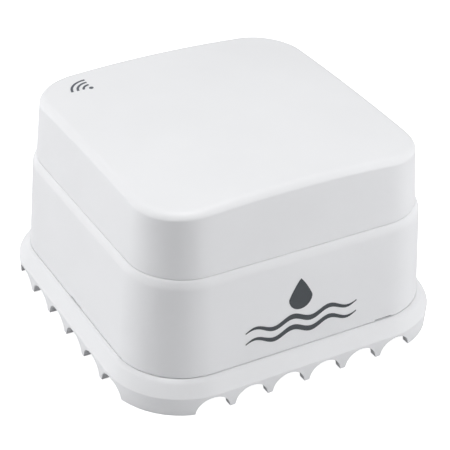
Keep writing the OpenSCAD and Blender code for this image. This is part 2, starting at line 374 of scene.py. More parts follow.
class Shade:
    """Node tree of one finish: a Principled surface and the patterns that drive it."""

    def __init__(self, name: str, colour: Colour, roughness: float, metallic: float = 0.0) -> None:
        """Start a material.

        Args:
            name: the material's name.
            colour: its base colour.
            roughness: its roughness.
            metallic: 1 for bare metal.
        """
        self.colour = colour
        self.material = bpy.data.materials.new(name)
        self.material.use_nodes = True
        self.tree = self.material.node_tree
        self.surface = self.tree.nodes["Principled BSDF"]
        self.place = self.tree.nodes.new("ShaderNodeTexCoord")
        self.surface.inputs["Base Color"].default_value = (*colour, 1)
        self.surface.inputs["Roughness"].default_value = roughness
        self.surface.inputs["Metallic"].default_value = metallic
        self.material.diffuse_color = (*colour, 1)

    def node(self, kind: str, **settings: object) -> bpy.types.Node:
        """Add a node.

        Args:
            kind: the node's type.
            settings: its properties.

        Returns:
            The node.
        """
        node = self.tree.nodes.new(kind)
        for key, value in settings.items():
            setattr(node, key, value)
        return node

    def link(self, source: Socket, target: Socket) -> None:
        """Link two sockets."""
        self.tree.links.new(source, target)

    def spot(self, stretch: Sequence[float] = (1, 1, 1), turn: Sequence[float] = (0, 0, 0)) -> Socket:
        """Return the piece's own coordinates, stretched and turned.

        Args:
            stretch: scale along each axis.
            turn: rotation about each axis.

        Returns:
            The vector socket.
        """
        mapping = self.node("ShaderNodeMapping")
        mapping.inputs["Scale"].default_value = stretch
        mapping.inputs["Rotation"].default_value = turn
        self.link(self.place.outputs["Object"], mapping.inputs["Vector"])
        return mapping.outputs["Vector"]

    def noise(self, size: float, detail: float = 2.0, stretch: Sequence[float] = (1, 1, 1)) -> Socket:
        """Return cloudy noise whose lumps are about a size across.

        Args:
            size: size of a lump.
            detail: octaves of finer noise.
            stretch: scale along each axis.

        Returns:
            The factor socket, from 0 to 1.
        """
        noise = self.node("ShaderNodeTexNoise")
        noise.inputs["Scale"].default_value = 1 / size
        noise.inputs["Detail"].default_value = detail
        self.link(self.spot(stretch), noise.inputs["Vector"])
        return noise.outputs["Fac"]

    def pores(self, size: float) -> Socket:
        """Return the distance to the nearest of many points.

        Args:
            size: how far apart the points are, about.

        Returns:
            The distance socket.
        """
        cells = self.node("ShaderNodeTexVoronoi")
        cells.inputs["Scale"].default_value = 1 / size
        self.link(self.spot(), cells.inputs["Vector"])
        return cells.outputs["Distance"]

    def along(self, axis: str, start: float, end: float) -> Socket:
        """Return 0 to 1 from one place to another along an axis.

        Args:
            axis: X, Y or Z.
            start: place of 0.
            end: place of 1.

        Returns:
            The factor socket.
        """
        split = self.node("ShaderNodeSeparateXYZ")
        self.link(self.spot(), split.inputs["Vector"])
        return self.remap(split.outputs[axis], 0.0, 1.0, start, end)

    def remap(self, source: Socket, low: float, high: float, start: float = 0.3, end: float = 0.7) -> Socket:
        """Map a range of a factor onto another range.

        Args:
            source: the factor.
            low: result at the range's start.
            high: result at its end.
            start: where the range starts.
            end: where it ends.

        Returns:
            The result socket.
        """
        remap = self.node("ShaderNodeMapRange")
        for key, value in (("From Min", start), ("From Max", end), ("To Min", low), ("To Max", high)):
            remap.inputs[key].default_value = value
        self.link(source, remap.inputs["Value"])
        return remap.outputs["Result"]

    def tint(self, source: Socket, stops: Sequence[tuple[float, Colour]], steps: bool = False) -> None:
        """Colour the surface by a factor.

        Args:
            source: the factor.
            stops: place and colour of each stop.
            steps: whether colours change at once at their stops.
        """
        ramp = self.node("ShaderNodeValToRGB")
        if steps:
            ramp.color_ramp.interpolation = "CONSTANT"
        elements = ramp.color_ramp.elements
        while len(elements) < len(stops):
            elements.new(0.5)
        for element, (place, colour) in zip(elements, stops):
            element.position = place
            element.color = (*colour, 1)
        self.link(source, ramp.inputs["Fac"])
        self.link(ramp.outputs["Color"], self.surface.inputs["Base Color"])

    def mottle(self, source: Socket, low: float, high: float, start: float = 0.3, end: float = 0.7) -> None:
        """Make the base colour lighter or darker by a factor.

        Args:
            source: the factor.
            low: how light the colour is at the range's start.
            high: how light it is at its end.
            start: where the range starts.
            end: where it ends.
        """
        self.tint(source, ((start, shade_of(self.colour, low)), (end, shade_of(self.colour, high))))

    def polish(self, source: Socket, low: float, high: float) -> None:
        """Vary the roughness between two values by a factor."""
        self.link(self.remap(source, low, high), self.surface.inputs["Roughness"])

    def relief(self, *layers: tuple[Socket, float]) -> None:
        """Raise the surface by layers of pattern.

        Args:
            layers: factor and height of each layer.
        """
        below = None
        for source, height in layers:
            bump = self.node("ShaderNodeBump")
            bump.inputs["Distance"].default_value = height
            self.link(source, bump.inputs["Height"])
            if below is not None:
                self.link(below, bump.inputs["Normal"])
            below = bump.outputs["Normal"]
        self.link(below, self.surface.inputs["Normal"])


def shade_of(colour: Colour, factor: float) -> Colour:
    """Return a colour made lighter or darker by a factor."""
    return tuple(min(channel * factor, 1.0) for channel in colour)


@dataclass(frozen=True)
class Moulding:
    """Moulded plastic with a fine spark-eroded grain, faint flow marks and, where asked, level tool lines."""

    name: str
    colour: Colour
    roughness: float = 0.42
    grain: float = 0.7 * MM
    grain_height: float = 0.0012 * MM
    flow: float = 14 * MM
    flow_height: float = 0.02 * MM
    spread: float = 0.012
    wear: float = 0.03
    tool_lines: float = 0.0
    gloss: float = 0.5

    def material(self) -> bpy.types.Material:
        """Build the node tree.

        Returns:
            The material.
        """
        shade = Shade(self.name, self.colour, self.roughness)
        cloud = shade.noise(self.flow, 3.0)
        shade.mottle(cloud, 1 - self.spread, 1 + self.spread)
        shade.polish(shade.noise(self.flow / 4, 4.0), self.roughness - self.wear, self.roughness + self.wear)
        layers = [(cloud, self.flow_height), (shade.noise(self.grain, 1.0), self.grain_height)]
        if self.tool_lines:
            layers.append((shade.noise(self.grain, 2.0, (0.06, 0.06, 1.3)), self.tool_lines))
        shade.relief(*layers)
        shade.surface.inputs["Specular IOR Level"].default_value = self.gloss
        return shade.material


@dataclass(frozen=True)
class Metal:
    """Drawn, turned or plated metal with tool lines along one axis."""

    name: str
    colour: Colour
    roughness: float = 0.3
    lines: tuple[float, float, float] = (1.0, 1.0, 12.0)
    line_height: float = 0.004 * MM

    def material(self) -> bpy.types.Material:
        """Build the node tree.

        Returns:
            The material.
        """
        shade = Shade(self.name, self.colour, self.roughness, 1.0)
        lines = shade.noise(0.9 * MM, 4.0, self.lines)
        shade.mottle(shade.noise(2.5 * MM, 3.0), 0.86, 1.0)
        shade.polish(lines, self.roughness - 0.08, self.roughness + 0.12)
        shade.relief((lines, self.line_height))
        return shade.material


@dataclass(frozen=True)
class Rubber:
    """Moulded rubber, matt with a dusty bloom."""

    name: str
    colour: Colour
    roughness: float = 0.68

    def material(self) -> bpy.types.Material:
        """Build the node tree.

        Returns:
            The material.
        """
        shade = Shade(self.name, self.colour, self.roughness)
        bloom = shade.noise(1.6 * MM, 5.0)
        shade.mottle(bloom, 1.0, 1.5, 0.35, 0.7)
        shade.polish(bloom, self.roughness - 0.1, self.roughness + 0.1)
        shade.relief((shade.noise(0.12 * MM, 2.0), 0.01 * MM))
        return shade.material


@dataclass(frozen=True)
class Foam:
    """Open-cell foam, with painted shade in its pores."""

    name: str
    colour: Colour
    pore: float = 0.45 * MM

    def material(self) -> bpy.types.Material:
        """Build the node tree.

        Returns:
            The material.
        """
        shade = Shade(self.name, self.colour, 0.9)
        pores = shade.pores(self.pore)
        # painted shade: the colour darkens towards each pore's middle, where the bump sinks the pit
        shade.mottle(pores, 0.35, 1.0, 0.1, 0.6)
        shade.relief((pores, 0.12 * MM))
        shade.surface.inputs["Sheen Weight"].default_value = 0.2
        return shade.material


@dataclass(frozen=True)
class ClearResin:
    """Clear resin with faint flow lines."""

    name: str
    colour: Colour
    roughness: float = 0.12

    def material(self) -> bpy.types.Material:
        """Build the node tree.

        Returns:
            The material.
        """
        shade = Shade(self.name, self.colour, self.roughness)
        flow = shade.noise(1.2 * MM, 3.0, (1, 1, 0.3))
        shade.mottle(flow, 0.92, 1.0)
        shade.polish(flow, self.roughness, self.roughness + 0.1)
        shade.surface.inputs["Transmission Weight"].default_value = 0.85
        shade.surface.inputs["IOR"].default_value = 1.49
        return shade.material


@dataclass(frozen=True)
class Sleeve:
    """Printed shrink sleeve of a cell: a dark body, a pale band and thin stripes towards the nub."""

    name: str
    flat_end: float
    nub_end: float
    body: Colour = (0.030, 0.075, 0.125)
    band: Colour = (0.62, 0.64, 0.66)
    stripe: Colour = (0.36, 0.52, 0.10)

    def material(self) -> bpy.types.Material:
        """Build the node tree.

        Returns:
            The material.
        """
        shade = Shade(self.name, self.body, 0.28)
        place = shade.along("X", self.flat_end, self.nub_end)
        stops = ((0.0, self.body), (0.70, self.stripe), (0.715, self.body), (0.73, self.band))
        shade.tint(place, stops, steps=True)
        wrinkle = shade.noise(3.5 * MM, 3.0, (0.4, 1, 1))
        shade.polish(wrinkle, 0.2, 0.28)
        shade.relief((wrinkle, 0.03 * MM))
        shade.surface.inputs["Coat Weight"].default_value = 0.3
        return shade.material


@dataclass(frozen=True)
class SolderMask:
    """Circuit board: a mask over tracks, in the board's colour."""

    name: str
    colour: Colour
    track: float = 2.6 * MM

    def material(self) -> bpy.types.Material:
        """Build the node tree.

        Returns:
            The material.
        """
        shade = Shade(self.name, self.colour, 0.3)
        tracks = shade.node("ShaderNodeTexBrick")
        for key, value in (
            ("Scale", 1 / self.track), ("Mortar Size", 0.06), ("Brick Width", 1.7), ("Row Height", 0.4),
            ("Color1", (0, 0, 0, 1)), ("Color2", (0.12, 0.12, 0.12, 1)), ("Mortar", (1, 1, 1, 1)),
        ):
            tracks.inputs[key].default_value = value
        shade.link(shade.spot(turn=(0, 0, math.radians(45))), tracks.inputs["Vector"])
        pattern = tracks.outputs["Color"]
        shade.mottle(pattern, 1.0, 1.9, 0.0, 1.0)
        shade.polish(shade.noise(0.6 * MM, 2.0), 0.32, 0.4)
        shade.relief((pattern, 0.03 * MM))
        return shade.material


@dataclass(frozen=True)
class Print:
    """Printed ink or sticker face."""

    name: str
    colour: Colour
    roughness: float = 0.45

    def material(self) -> bpy.types.Material:
        """Build the node tree.

        Returns:
            The material.
        """
        shade = Shade(self.name, self.colour, self.roughness)
        grain = shade.noise(0.25 * MM, 3.0)
        shade.mottle(grain, 0.92, 1.08)
        shade.polish(grain, self.roughness - 0.05, self.roughness + 0.05)
        shade.relief((grain, 0.002 * MM))
        return shade.material


CASING_WHITE: Colour = (0.800, 0.806, 0.820)
TRAY_WHITE: Colour = (0.760, 0.766, 0.780)
GREY: Colour = (0.42, 0.43, 0.45)
BLACK: Colour = (0.022, 0.022, 0.024)
INK: Colour = (0.050, 0.058, 0.066)
ICON_INK: Colour = (0.105, 0.115, 0.135)

CASING = Moulding("casing_plastic", CASING_WHITE, roughness=0.43, gloss=0.3)
# painted shade: the base is the casing's white plastic made 3 % darker, a shaded copy that dims the skirt;
# its tool lines are real
SHADED_SKIRT = Moulding("base_plastic", shade_of(CASING_WHITE, 0.97), tool_lines=0.006 * MM, gloss=0.3)
TRAY = Moulding("tray_plastic", TRAY_WHITE, roughness=0.5)
BUTTON = Moulding("button_plastic", GREY, roughness=0.45)
DARK_PLASTIC = Moulding("dark_plastic", BLACK, roughness=0.4, spread=0.15)
CHIP_RESIN = Moulding("chip_resin", (0.03, 0.03, 0.032), roughness=0.55, spread=0.12)
LED_RESIN = Moulding("led_resin", (0.82, 0.80, 0.70), roughness=0.36)
STEEL = Metal("screw_steel", (0.56, 0.56, 0.58), roughness=0.32)
STAINLESS = Metal("probe_steel", (0.66, 0.66, 0.67), roughness=0.22)
BRASS = Metal("nut_brass", (0.72, 0.52, 0.22), roughness=0.3)
NICKEL = Metal("contact_nickel", (0.70, 0.68, 0.63), roughness=0.25, lines=(1.0, 12.0, 1.0))
TIN = Metal("shield_tin", (0.66, 0.66, 0.66), roughness=0.38, lines=(12.0, 1.0, 1.0))
ALUMINIUM = Metal("can_aluminium", (0.74, 0.74, 0.75), roughness=0.3)
SEAL = Rubber("seal_rubber", (0.13, 0.135, 0.145))
ORING = Rubber("oring_rubber", (0.018, 0.018, 0.019))
PAD = Foam("pad_foam", (0.06, 0.06, 0.065))
CLEAR = ClearResin("light_pipe_resin", (0.93, 0.95, 0.97))
GREEN_BOARD = SolderMask("board_green", (0.018, 0.105, 0.040))
BLUE_BOARD = SolderMask("board_blue", (0.015, 0.045, 0.16), track=1.8 * MM)
MARK_INK = Print("mark_ink", INK)
WIRELESS_INK = Print("wireless_ink", ICON_INK)
LABEL = Print("label_film", (0.58, 0.59, 0.60), roughness=0.4)

Finish = Moulding | Metal | Rubber | Foam | ClearResin | Sleeve | SolderMask | Print
made: dict[str, bpy.types.Material] = {}


def dress(piece: Piece, *finishes: Finish) -> None:
    """Give a piece its finishes, one material slot each.

    Args:
        piece: the piece.
        finishes: its finishes, the main one first.
    """
    piece.data.materials.clear()
    for finish in finishes:
        if finish.name not in made:
            made[finish.name] = finish.material()
        piece.data.materials.append(made[finish.name])


def second_finish(piece: Piece, test: Callable[[bpy.types.MeshPolygon], bool]) -> None:
    """Give a piece's second finish to some of its faces.

    Args:
        piece: the piece.
        test: says whether a face has it.
    """
    for face in piece.data.polygons:
        if test(face):
            face.material_index = 1


def fit(piece: Piece, body: str, slot: str, *nodes: str) -> None:
    """Fix a finished piece to its body and put away the frame nodes that it stands for.

    Args:
        piece: the finished piece.
        body: the body it rides on.
        slot: name of a material slot; not used.
        nodes: frame nodes that it replaces.
    """
    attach(piece, body)
    if nodes:
        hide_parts(*nodes)
    log.info("%s: %d faces on %s", piece.name, len(piece.data.polygons), body)


# ---- casings ----


@dataclass
class Shell:
    """A rounded-square moulding whose end faces are drawn through rings, with the same corner centres."""

    corner: float = 18 * MM
    corner_steps: int = 14
    side_cuts: int = 11

    def slab(self, name: str, width: float, foot: float, top: float) -> Piece:
        """Make the thin slab that a shell grows from.

        Args:
            name: the piece's name.
            width: its width.
            foot: its underside.
            top: its top.

        Returns:
            The slab, with an uncut face at each end.
        """
        half = width / 2
        piece = block(name, (-half, -half, foot), (half, half, top))
        round_edges(piece, half - self.corner, self.corner_steps, lambda edge: abs(run(edge).z) > ALONG)
        with shaping(piece):
            select(piece, Kind.EDGE, lambda edge: (edge.verts[1].co - edge.verts[0].co).length > self.corner)
            bpy.ops.mesh.subdivide(number_cuts=self.side_cuts)
        return piece

    def draw(self, piece: Piece, end: End, width: float, level: float, rings: Rings) -> None:
        """Draw an end face through rings, inwards or straight up and down.

        Args:
            piece: the shell.
            end: which end face.
            width: the end face's width.
            level: its height.
            rings: width and height of each ring.
        """
        with shaping(piece):
            select(piece, Kind.FACE, lambda face: face.normal.z * end.value > ALONG
                   and abs(face.calc_center_median().z - level) < HAIR)
            for ring_width, ring_level in rings:
                rise = (ring_level - level) * end.value
                if 2 * self.corner + 1 * MM < ring_width < width:
                    bpy.ops.mesh.inset(thickness=(width - ring_width) / 2, depth=rise)
                else:
                    move = {"value": (0, 0, ring_level - level)}
                    bpy.ops.mesh.extrude_region_move(TRANSFORM_OT_translate=move)
                    ratio = ring_width / width
                    bpy.ops.transform.resize(value=(ratio, ratio, 1), center_override=(0, 0, ring_level))
                width, level = ring_width, ring_level

    def hand_over(self, piece: Piece, edge: float, below: float, finish: Finish, body: str,
                  node: str) -> Piece:
        """Round a shell's sharp edges, keep it off the ground, shade it, dress it and fit it.

        Args:
            piece: the shell with all its details.
            edge: radius of its sharp edges.
            below: largest angle, in degrees, that is shaded smooth.
            finish: its finish.
            body: the body it rides on.
            node: the frame node that it replaces.

        Returns:
            The finished piece.
        """
        soften(piece, edge, 50)
        for vertex in piece.data.vertices:
            vertex.co.z = max(vertex.co.z, 0)
        smooth(piece, below)
        level_shading(piece)
        dress(piece, finish)
        fit(piece, body, "casing_white", node)
        return piece


@dataclass
class BaseTray(Shell):
    """The base: a scalloped skirt round a water chamber, the plate, and the ring that takes the housing."""

    width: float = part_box("base_tray")[1].x * 2
    seam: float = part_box("base_seal")[1].z
    edge: float = 3.65 * MM
    edge_round: float = 0.16 * MM
    foot_draft: float = 0.2 * MM
    foot_round: float = 0.12 * MM
    shoulder: float = 5.65 * MM
    shoulder_rings: Rings = ((0.0, 0.22), (0.3, 0.37), (0.7, 0.52), (1.1, 0.64))    # in and up, in mm
    shoulder_width: float = 62.2 * MM
    lip_width: float = 60.6 * MM
    wall: float = 1.5 * MM
    chamber: float = 4.4 * MM
    groove: tuple[float, float] = (59.6 * MM, 57.6 * MM)
    groove_depth: float = 0.8 * MM
    spigot: tuple[float, float] = (55.6 * MM, 53.2 * MM)
    spigot_height: float = 2 * MM
    arches: int = 6
    pitch: float = 7.54 * MM
    arch: float = 3.2 * MM
    arch_reach: float = 4.5 * MM
    arch_inset: float = 1.4 * MM
    tip_round: float = 0.5 * MM
    tip_spare: float = 0.05 * MM
    post_at: tuple[float, float] = (10 * MM, 20 * MM)
    probe_at: float = 16 * MM

    def shell(self) -> Piece:
        """Make the skirt and the plate.

        Returns:
            The closed shell.
        """
        low, high = self.edge - self.edge_round, self.edge + self.edge_round
        piece = self.slab("base_tray_shell", self.width, low, self.edge)
        foot = self.width - 2 * self.foot_draft
        inner = foot - 2 * self.wall
        self.draw(piece, End.TOP, self.width, self.edge, (
            (self.width - 0.5 * self.edge_round, high), (self.shoulder_width + 0.35 * MM, self.shoulder),
            *((self.shoulder_width - inwards * MM, self.shoulder + up * MM)
              for inwards, up in self.shoulder_rings),
            (self.lip_width + 0.2 * MM, self.seam - 0.01 * MM), (self.lip_width, self.seam + 0.03 * MM),
            (self.groove[0], self.seam + 0.03 * MM), (self.groove[0], self.seam - self.groove_depth),
            (self.groove[1], self.seam - self.groove_depth), (self.groove[1], self.seam),
            (self.spigot[0], self.seam), (self.spigot[0], self.seam + self.spigot_height),
            (self.spigot[1], self.seam + self.spigot_height), (self.spigot[1], self.seam),
        ))
        self.draw(piece, End.BOTTOM, self.width, low, (
            (foot, self.foot_round), (foot - 2 * self.foot_round, 0), (inner + 2 * self.foot_round, 0),
            (inner, self.foot_round), (inner, self.chamber),
        ))
        return piece

    def arch_cutter(self, offset: float, side: int) -> Piece:
        """Make the tool that cuts one arch, with a flared foot that rounds the teeth's tips.

        Args:
            offset: place of the arch along its side.
            side: which side, counting quarter turns.

        Returns:
            The cutter.
        """
        place = Vector((offset, self.arch_inset - self.width / 2, 0))
        clear_bench()
        bpy.ops.mesh.primitive_cylinder_add(vertices=64, radius=self.arch, depth=self.arch_reach,
                                            location=place, rotation=(math.radians(90), 0, 0))
        cutter = settle(bpy.context.object, "cutter")
        flare = self.tip_round + self.tip_spare
        with shaping(cutter):
            bpy.ops.mesh.select_all(action="SELECT")
            bpy.ops.mesh.bisect(plane_co=(0, 0, 0), plane_no=(0, 0, 1), use_fill=True, clear_inner=True)
            select(cutter, Kind.FACE, lambda face: face.normal.z < -ALONG)
            bpy.ops.mesh.extrude_region_move(TRANSFORM_OT_translate={"value": (0, 0, 0)})
            ratio = (self.arch + flare) / self.arch
            bpy.ops.transform.resize(value=(ratio, 1, 1), center_override=place)
            bpy.ops.mesh.extrude_region_move(TRANSFORM_OT_translate={"value": (0, 0, -1 * MM)})
            select(cutter, Kind.EDGE, lambda edge: abs(run(edge).y) > ALONG and abs(middle(edge).z) < HAIR
                   and abs(abs(middle(edge).x - offset) - self.arch) < HAIR)
            bpy.ops.mesh.bevel(offset=self.tip_round, segments=5, profile=0.5, affect="EDGES")
            bpy.ops.mesh.select_all(action="SELECT")
            bpy.ops.mesh.normals_make_consistent(inside=False)
        return swing(cutter, Matrix.Rotation(math.radians(90 * side), 3, "Z"))

    def cut_arches(self, piece: Piece) -> None:
        """Cut the arches all round the skirt."""
        places = [(index - (self.arches - 1) / 2) * self.pitch for index in range(self.arches)]
        combine(piece, [self.arch_cutter(place, side) for side in range(4) for place in places], "DIFFERENCE")

    def bosses(self, piece: Piece) -> None:
        """Add the screw bosses under the plate and the board posts on it, and drill them.

        Args:
            piece: the base.
        """
        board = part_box("main_board")[0].z
        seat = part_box("case_screws")[0].z + 1.6 * MM
        mouth = self.chamber + 1 * MM
        boss = ((3.8 * MM, 0.8 * MM), (4 * MM, 1 * MM), (4 * MM, 5 * MM))
        post = ((2.6 * MM, self.seam - 0.2 * MM), (2.4 * MM, board))
        boss_bore = ((2.55 * MM, 0.5 * MM), (2.4 * MM, 1 * MM), (2.4 * MM, seat), (PILOT, seat),
                     (PILOT, 9 * MM))
        post_bore = ((1 * MM, self.seam + 0.4 * MM), (1 * MM, board + 1 * MM))
        probe_bore = ((2.9 * MM, self.chamber - 1 * MM), (2.67 * MM, mouth), (1.55 * MM, mouth),
                      (1.55 * MM, self.seam + 1 * MM))
        added = [turned("boss", x, y, boss) for x, y in quarters(SCREW_AT, SCREW_AT)]
        added += [turned("post", x, y, post) for x, y in quarters(*self.post_at)]
        combine(piece, added, "UNION")
        drilled = [turned("bore", x, y, boss_bore) for x, y in quarters(SCREW_AT, SCREW_AT)]
        drilled += [turned("bore", x, y, post_bore, 24) for x, y in quarters(*self.post_at)]
        drilled += [turned("bore", x, 0, probe_bore) for x in (-self.probe_at, self.probe_at)]
        combine(piece, drilled, "DIFFERENCE")

    def build(self) -> Piece:
        """Build the base.

        Returns:
            The finished base.
        """
        piece = self.shell()
        self.bosses(piece)
        self.cut_arches(piece)
        return self.hand_over(piece, 0.1 * MM, 38, SHADED_SKIRT, "case", "base_tray")


@dataclass
class Housing(Shell):
    """The middle casing: drafted walls, a rounded shoulder and the ledge for the battery tray."""

    width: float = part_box("housing")[1].x * 2
    foot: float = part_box("housing")[0].z
    land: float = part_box("housing")[1].z
    top_width: float = 58.2 * MM
    shoulder: tuple[float, float] = (0.78 * MM, 1.9 * MM)
    shoulder_shares: Rings = ((0.015, 0.11), (0.06, 0.22), (0.13, 0.33), (0.22, 0.45), (0.34, 0.57),
                              (0.48, 0.7), (0.64, 0.82), (0.8, 0.92), (1.0, 1.0))
    land_rise: float = 0.05 * MM
    foot_round: float = 0.14 * MM
    inner_foot: float = 56.4 * MM
    inner_top: float = 54.6 * MM
    ceiling: float = 22.8 * MM
    ledge: float = 24 * MM
    opening: tuple[float, float] = (53.8 * MM, 52.2 * MM)
    notches: tuple[tuple[float, float, float, float], ...] = (
        (-31 * MM, -2.9 * MM, -29.7 * MM, 1.7 * MM), (15.2 * MM, -31 * MM, 18.8 * MM, -29.7 * MM),
    )
    column: float = 3.2 * MM
    column_top: float = 21.6 * MM

    def shoulder_rings(self) -> Rings:
        """Work out the rings of the shoulder, a round that turns flatter towards its top.

        Returns:
            Width and height of each ring.
        """
        inwards, height = self.shoulder
        return [(self.top_width - 2 * inwards * inward, self.land + self.land_rise - height * (1 - up))
                for inward, up in self.shoulder_shares]

    def shell(self) -> Piece:
        """Make the drafted wall, the shoulder, the opening and the inside.

        Returns:
            The shell, open at both ends.
        """
        low, slab_top = self.foot + self.foot_round, self.foot + self.foot_round + 0.1 * MM
        piece = self.slab("housing_shell", self.width, low, slab_top)
        wide, narrow = self.opening
        land = self.land + self.land_rise
        self.draw(piece, End.TOP, self.width, slab_top, (
            (self.top_width, land - self.shoulder[1]), *self.shoulder_rings(), (wide, land),
            (wide, self.ledge), (narrow, self.ledge), (narrow, self.ceiling + 0.2 * MM),
        ))
        angles = [math.radians(30 * step) for step in (1, 2, 3)]
        foot = [(self.width - 2 * self.foot_round * (1 - math.cos(angle)),
                 low - self.foot_round * math.sin(angle)) for angle in angles]
        self.draw(piece, End.BOTTOM, self.width, low, (
            *foot, (self.inner_foot, self.foot), (self.inner_top, self.ceiling), (narrow, self.ceiling),
        ))
        with shaping(piece):
            select(piece, Kind.FACE, lambda face: len(face.verts) > 4 * self.side_cuts)
            bpy.ops.mesh.bridge_edge_loops()
        return piece

    def columns(self, piece: Piece) -> None:
        """Add the four screw columns with their webs, drill them, and cut the pry notches.

        Args:
            piece: the housing.
        """
        added = []
        for quarter in range(4):
            stations = ((self.column, self.foot), (self.column, self.column_top))
            column = turned("column", SCREW_AT, SCREW_AT, stations, 32)
            web = block("web", (2 * MM, -0.8 * MM, 8.6 * MM), (5.3 * MM, 0.8 * MM, self.column_top))
            swing(web, Matrix.Rotation(math.radians(45), 3, "Z"), (SCREW_AT, SCREW_AT, 0))
            combine(column, [web], "UNION")
            added.append(swing(column, Matrix.Rotation(math.radians(90 * quarter), 3, "Z")))
        combine(piece, added, "UNION")
        bore = ((PILOT, self.foot - 1 * MM), (PILOT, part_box("battery_tray")[0].z + 4 * MM))
        cut = [turned("bore", x, y, bore, 24) for x, y in quarters(SCREW_AT, SCREW_AT)]
        cut += [block("notch", (x0, y0, self.foot - 1 * MM), (x1, y1, self.foot + 0.3 * MM))
                for x0, y0, x1, y1 in self.notches]
        combine(piece, cut, "DIFFERENCE")

    def build(self) -> Piece:
        """Build the housing.

        Returns:
            The finished housing.
        """
        piece = self.shell()
        self.columns(piece)
        return self.hand_over(piece, 0.08 * MM, 38, CASING, "case", "housing")


@dataclass
class TopCap(Shell):
    """The lift-off cap: drafted walls, a rounded edge and a top crowned both ways."""

    width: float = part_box("top_cap")[1].x * 2
    foot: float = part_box("top_cap")[0].z
    height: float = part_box("top_cap")[1].z
    top_width: float = 54.8 * MM
    edge: tuple[float, float] = (0.7 * MM, 2.0 * MM)
    edge_turn: float = 40.0
    crown: tuple[float, float] = (1.4 * MM, 0.65 * MM)
    crown_widths: tuple[int, ...] = (50, 47, 44, 40, 34, 27, 20, 13, 6)    # in mm
    ceiling_widths: tuple[int, ...] = (44, 40, 30, 20, 8)
    wall: float = 1.8 * MM
    rib_at: float = 13 * MM
    rib: tuple[float, float] = (0.6 * MM, 13 * MM)

    @property
    def crest(self) -> float:
        """Height of the top at its corners, once the edge is rounded."""
        return self.height - sum(self.crown)

    def edge_rings(self) -> Rings:
        """Work out the rings of the edge: a small round off the wall that runs into a wide one.

        Returns:
            Width and height of each ring.
        """
        small, wide = self.edge
        turn = math.radians(self.edge_turn)
        rings = []
        for step in range(13):
            angle = math.radians(90 * step / 12)
            first, second = min(angle, turn), max(angle, turn)
            inwards = small * (1 - math.cos(first)) + wide * (math.cos(turn) - math.cos(second))
            drop = wide * (1 - math.sin(second)) + small * (math.sin(turn) - math.sin(first))
            rings.append((self.top_width - 2 * inwards, self.crest - drop))
        return rings

    def rise(self, x: float, y: float) -> float:
        """Return how far the crown stands above the corners at a place."""
        half = self.top_width / 2
        return self.crown[0] * (1 - (x / half) ** 2) + self.crown[1] * (1 - (y / half) ** 2)

    def shell(self) -> Piece:
        """Make the cap's skin, inside and out.

        Returns:
            The closed shell.
        """
        slab_top = self.foot + 0.1 * MM
        piece = self.slab("cap_shell", self.width, self.foot, slab_top)
        edge = self.edge_rings()
        flat = [(width * MM, self.crest) for width in self.crown_widths]
        self.draw(piece, End.TOP, self.width, slab_top, (*edge, *flat))
        ceiling = self.crest - self.wall
        inner = self.top_width - 2 * self.wall
        self.draw(piece, End.BOTTOM, self.width, self.foot, (
            (self.width - 2 * self.wall, self.foot), (inner, ceiling - 0.9 * MM),
            (inner - 0.5 * MM, ceiling - 0.3 * MM), (inner - 1.8 * MM, ceiling),
            *((width * MM, ceiling) for width in self.ceiling_widths),
        ))
        lifted = self.crest - self.wall - 1.2 * MM
        for vertex in piece.data.vertices:
            if vertex.co.z > lifted:
                vertex.co.z += self.rise(vertex.co.x, vertex.co.y)
        return piece

    def build(self) -> Piece:
        """Build the cap.

        Returns:
            The finished cap.
        """
        piece = self.shell()
        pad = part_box("cell_pad")
        row = (pad[0].y + pad[1].y) / 2
        thick, reach = self.rib
        top = self.crest + 0.2 * MM
        ribs = [block("rib", (x - thick, row - reach, pad[1].z), (x + thick, row + reach, top))
                for x in (-self.rib_at, self.rib_at)]
        combine(piece, ribs, "UNION")
        return self.hand_over(piece, 0.12 * MM, 40, CASING, "cap", "top_cap")


# ---- printed marks ----


